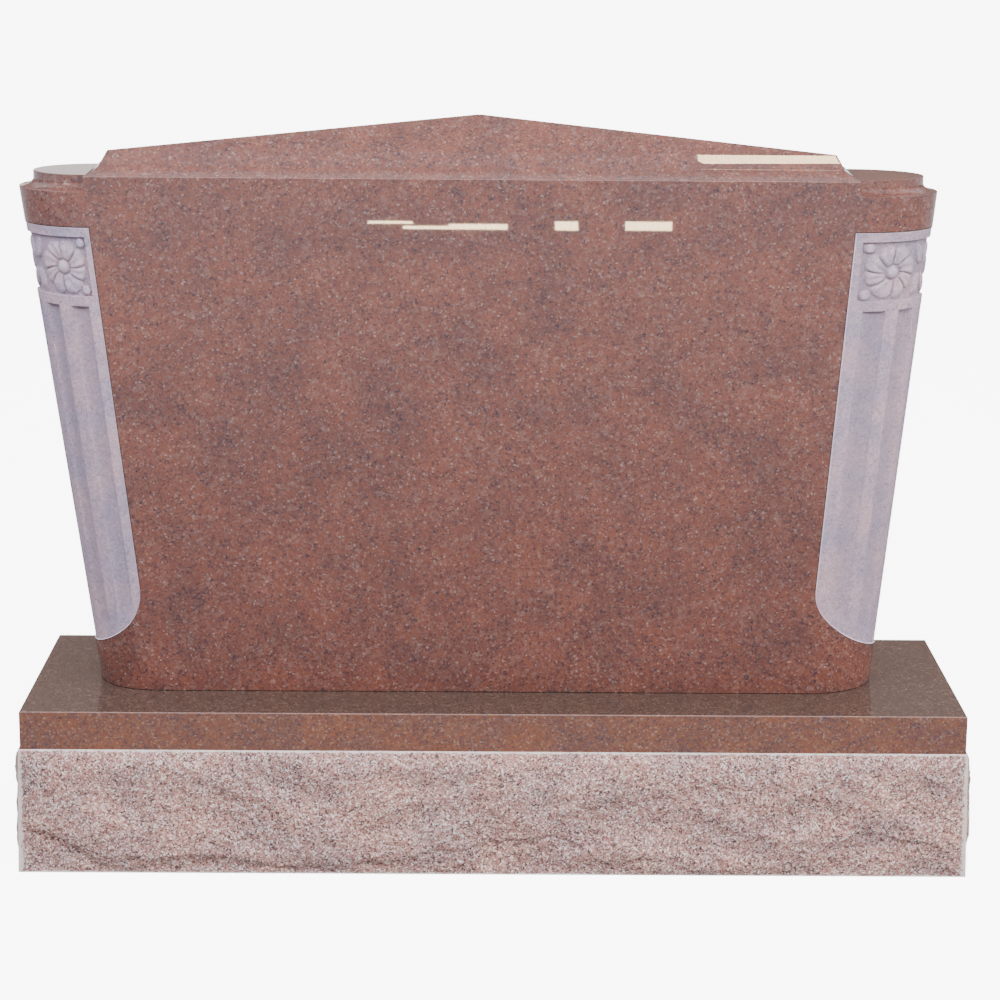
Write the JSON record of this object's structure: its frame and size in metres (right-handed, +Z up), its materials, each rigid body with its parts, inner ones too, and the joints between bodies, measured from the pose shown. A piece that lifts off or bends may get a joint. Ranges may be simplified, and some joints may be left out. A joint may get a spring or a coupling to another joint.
{
  "type": "granite monument",
  "caption": "Upright red granite headstone with a low gabled top and fluted, rosette-carved half-round ends, standing on a rock-pitched granite base.",
  "frame": {"origin": "centre of the base's underside, on the ground", "axes": "+X along the length, -Y towards the front, +Z up"},
  "size_m": [1.243, 0.38, 0.9658],
  "materials": {
    "headstone": "polished red granite with unpolished carved ends",
    "base": "polished top and margin, rock-pitched sides"
  },
  "bodies": {
    "root": {"headstone": "headstone", "base": "base"}
  },
  "joints": []
}
